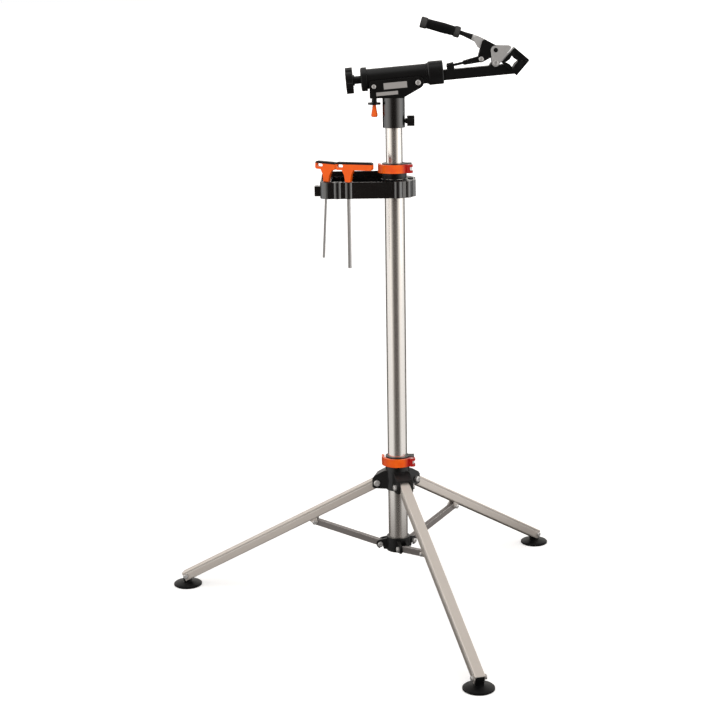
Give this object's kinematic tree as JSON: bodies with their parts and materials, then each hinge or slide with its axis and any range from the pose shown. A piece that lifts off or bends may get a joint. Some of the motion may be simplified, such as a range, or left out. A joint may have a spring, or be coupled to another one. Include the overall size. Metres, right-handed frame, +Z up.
{
  "type": "bicycle repair stand",
  "caption": "Folding tripod stand with a telescoping mast, a tool tray, and a head that swivels, folds and turns to hold a bicycle in a quick-action V jaw clamp.",
  "frame": {"origin": "on the floor, at the middle of the rectangle that the three feet cover seen from above; the mast axis stands 69 mm along +X and 47 mm along +Y from it", "axes": "+Z up along the mast, +X along the clamp arm towards the jaws, with the tool tray towards -X"},
  "size_m": [0.796, 0.817, 1.1515],
  "materials": {
    "anodised_tube": "satin",
    "cast_silver": "cast, satin",
    "black_paint": "semi-gloss",
    "black_nylon": "matte",
    "orange_plastic": "gloss",
    "key_steel": "satin",
    "bright_steel": "satin",
    "strut_finish": "satin",
    "soft_rubber": "matte"
  },
  "bodies": {
    "mast": {"outer_mast_tube": "anodised_tube", "mast_plug": "black_nylon", "lower_hub": "black_nylon", "mast_collar": "black_nylon", "mast_clamp_bolt": "bright_steel", "mast_bush": "black_nylon", "tool_tray": "black_nylon", "large_hex_key": "key_steel", "small_hex_key": "key_steel"},
    "mast_lever": {"mast_lever": "orange_plastic"},
    "upper_mast": {"inner_mast_tube": "anodised_tube", "mast_glide": "black_nylon"},
    "head": {"head_sleeve": "black_paint", "head_bracket": "black_paint", "fold_pivot_screws": "bright_steel", "guide_screws": "bright_steel"},
    "head_lock": {"head_lock_knob": "black_nylon"},
    "fold_lock": {"fold_lock_screw": "black_paint", "fold_lock_grip": "orange_plastic"},
    "housing": {"arm_housing": "black_paint", "rear_cap": "black_nylon", "housing_bushes": "bright_steel"},
    "clamp_arm": {"arm_shaft": "bright_steel", "thrust_washer": "bright_steel", "front_collar": "black_paint", "arm_beam": "black_paint", "lower_jaw_pad": "soft_rubber", "jaw_pivot_pin": "bright_steel", "link_saddle": "black_paint"},
    "turn_knob": {"rotation_knob": "black_nylon", "draw_bolt": "black_nylon"},
    "upper_jaw": {"upper_jaw_plates": "cast_silver", "upper_jaw_back": "black_paint", "upper_jaw_pad": "soft_rubber", "lever_pin": "black_paint"},
    "jaw_lever": {"lever_cheeks": "black_paint", "lever_casting": "cast_silver", "lever_grip": "soft_rubber", "link_pin": "bright_steel"},
    "link": {"toggle_link": "black_paint"},
    "adjuster": {"adjuster_wheel": "black_nylon"},
    "hub": {"tripod_hub": "black_nylon", "hub_clamp_bolt": "bright_steel", "leg_pivot_bolts": "bright_steel"},
    "hub_lever": {"hub_lever": "orange_plastic"},
    "leg_1": {"leg_tube_1": "anodised_tube", "leg_pins_1": "bright_steel"},
    "strut_1": {"strut_1": "strut_finish", "strut_bolt_1": "bright_steel"},
    "foot_1": {"foot_1": "soft_rubber"},
    "leg_2": {"leg_tube_2": "anodised_tube", "leg_pins_2": "bright_steel"},
    "strut_2": {"strut_2": "strut_finish", "strut_bolt_2": "bright_steel"},
    "foot_2": {"foot_2": "soft_rubber"},
    "leg_3": {"leg_tube_3": "anodised_tube", "leg_pins_3": "bright_steel"},
    "strut_3": {"strut_3": "strut_finish", "strut_bolt_3": "bright_steel"},
    "foot_3": {"foot_3": "soft_rubber"}
  },
  "joints": [
    {"name": "mast_extension", "type": "slide", "parent": "mast", "child": "upper_mast", "axis": [0, 0, 1], "range_m": [-0.06, 0.44]},
    {"name": "head_swivel", "type": "hinge", "parent": "upper_mast", "child": "head", "pos_m": [0.06922, 0.04657, 0.9475], "axis": [0, 0, 1], "continuous": true},
    {"name": "head_lock_turn", "type": "hinge", "parent": "head", "child": "head_lock", "pos_m": [0.06922, 0.04657, 0.9595], "axis": [1, 0, 0], "continuous": true},
    {"name": "arm_fold", "type": "hinge", "parent": "head", "child": "housing", "pos_m": [0.11516, 0.04657, 1.03177], "axis": [0, -1, 0], "range_deg": [-85, 0]},
    {"name": "fold_lock_turn", "type": "hinge", "parent": "head", "child": "fold_lock", "pos_m": [0.03292, 0.04657, 1.0035], "axis": [0, 0, 1], "continuous": true},
    {"name": "arm_rotation", "type": "hinge", "parent": "housing", "child": "clamp_arm", "pos_m": [0.06922, 0.04657, 1.042], "axis": [0.9969, 0, 0.0785], "continuous": true},
    {"name": "turn_knob_turn", "type": "hinge", "parent": "clamp_arm", "child": "turn_knob", "pos_m": [0.06922, 0.04657, 1.042], "axis": [0.9969, 0, 0.0785], "continuous": true},
    {"name": "lever_swing", "type": "hinge", "parent": "upper_jaw", "child": "jaw_lever", "pos_m": [0.25965, 0.04657, 1.08858], "axis": [0, 1, 0], "range_deg": [0, 82.8]},
    {"name": "jaw_swing", "type": "hinge", "parent": "clamp_arm", "child": "upper_jaw", "pos_m": [0.2595, 0.04657, 1.065], "axis": [0, -1, 0], "range_deg": [0, 28.01]},
    {"name": "link_swing", "type": "hinge", "parent": "jaw_lever", "child": "link", "pos_m": [0.23284, 0.04657, 1.07243], "axis": [0, -1, 0], "range_deg": [0, 83.77]},
    {"name": "adjuster_turn", "type": "hinge", "parent": "link", "child": "adjuster", "pos_m": [0.1759, 0.04657, 1.06043], "axis": [0.9785, 0, 0.2063], "continuous": true},
    {"name": "mast_lever_swing", "type": "hinge", "parent": "mast", "child": "mast_lever", "pos_m": [0.09722, 0.02957, 0.8713], "axis": [0, 0, 1], "range_deg": [0, 120]},
    {"name": "hub_slide", "type": "slide", "parent": "mast", "child": "hub", "axis": [0, 0, 1], "range_m": [0, 0.17172]},
    {"name": "hub_lever_swing", "type": "hinge", "parent": "hub", "child": "hub_lever", "pos_m": [0.09722, 0.02957, 0.2948], "axis": [0, 0, 1], "range_deg": [0, 120]},
    {"name": "leg_1_fold", "type": "hinge", "parent": "hub", "child": "leg_1", "pos_m": [0.03205, 0.05447, 0.249], "axis": [-0.2079, -0.9781, 0], "range_deg": [0, 53.04]},
    {"name": "strut_1_fold", "type": "hinge", "parent": "leg_1", "child": "strut_1", "pos_m": [-0.09681, 0.08186, 0.15663], "axis": [0.2079, 0.9781, 0], "range_deg": [0, 123.9]},
    {"name": "foot_1_tilt", "type": "hinge", "parent": "leg_1", "child": "foot_1", "pos_m": [-0.36899, 0.13972, 0.022], "axis": [-0.2079, -0.9781, 0], "range_deg": [-25, 25]},
    {"name": "leg_2_fold", "type": "hinge", "parent": "hub", "child": "leg_2", "pos_m": [0.08096, 0.01043, 0.249], "axis": [0.9511, 0.309, 0], "range_deg": [0, 53.04]},
    {"name": "strut_2_fold", "type": "hinge", "parent": "leg_2", "child": "strut_2", "pos_m": [0.12167, -0.11486, 0.15663], "axis": [-0.9511, -0.309, 0], "range_deg": [0, 123.9]},
    {"name": "foot_2_tilt", "type": "hinge", "parent": "leg_2", "child": "foot_2", "pos_m": [0.20766, -0.3795, 0.022], "axis": [0.9511, 0.309, 0], "range_deg": [-25, 25]},
    {"name": "leg_3_fold", "type": "hinge", "parent": "hub", "child": "leg_3", "pos_m": [0.09465, 0.07481, 0.249], "axis": [-0.7431, 0.6691, 0], "range_deg": [0, 53.04]},
    {"name": "strut_3_fold", "type": "hinge", "parent": "leg_3", "child": "strut_3", "pos_m": [0.1828, 0.17272, 0.15663], "axis": [0.7431, -0.6691, 0], "range_deg": [0, 123.9]},
    {"name": "foot_3_tilt", "type": "hinge", "parent": "leg_3", "child": "foot_3", "pos_m": [0.36899, 0.3795, 0.022], "axis": [-0.7431, 0.6691, 0], "range_deg": [-25, 25]}
  ],
  "couplings": [
    {"joint": "jaw_swing", "follows": "lever_swing", "ratio": 0.33815},
    {"joint": "link_swing", "follows": "lever_swing", "ratio": 1.0116},
    {"joint": "leg_1_fold", "follows": "hub_slide", "rad_per_m": 5.3897},
    {"joint": "strut_1_fold", "follows": "hub_slide", "rad_per_m": 12.592},
    {"joint": "leg_2_fold", "follows": "hub_slide", "rad_per_m": 5.3897},
    {"joint": "strut_2_fold", "follows": "hub_slide", "rad_per_m": 12.592},
    {"joint": "leg_3_fold", "follows": "hub_slide", "rad_per_m": 5.3897},
    {"joint": "strut_3_fold", "follows": "hub_slide", "rad_per_m": 12.592}
  ]
}
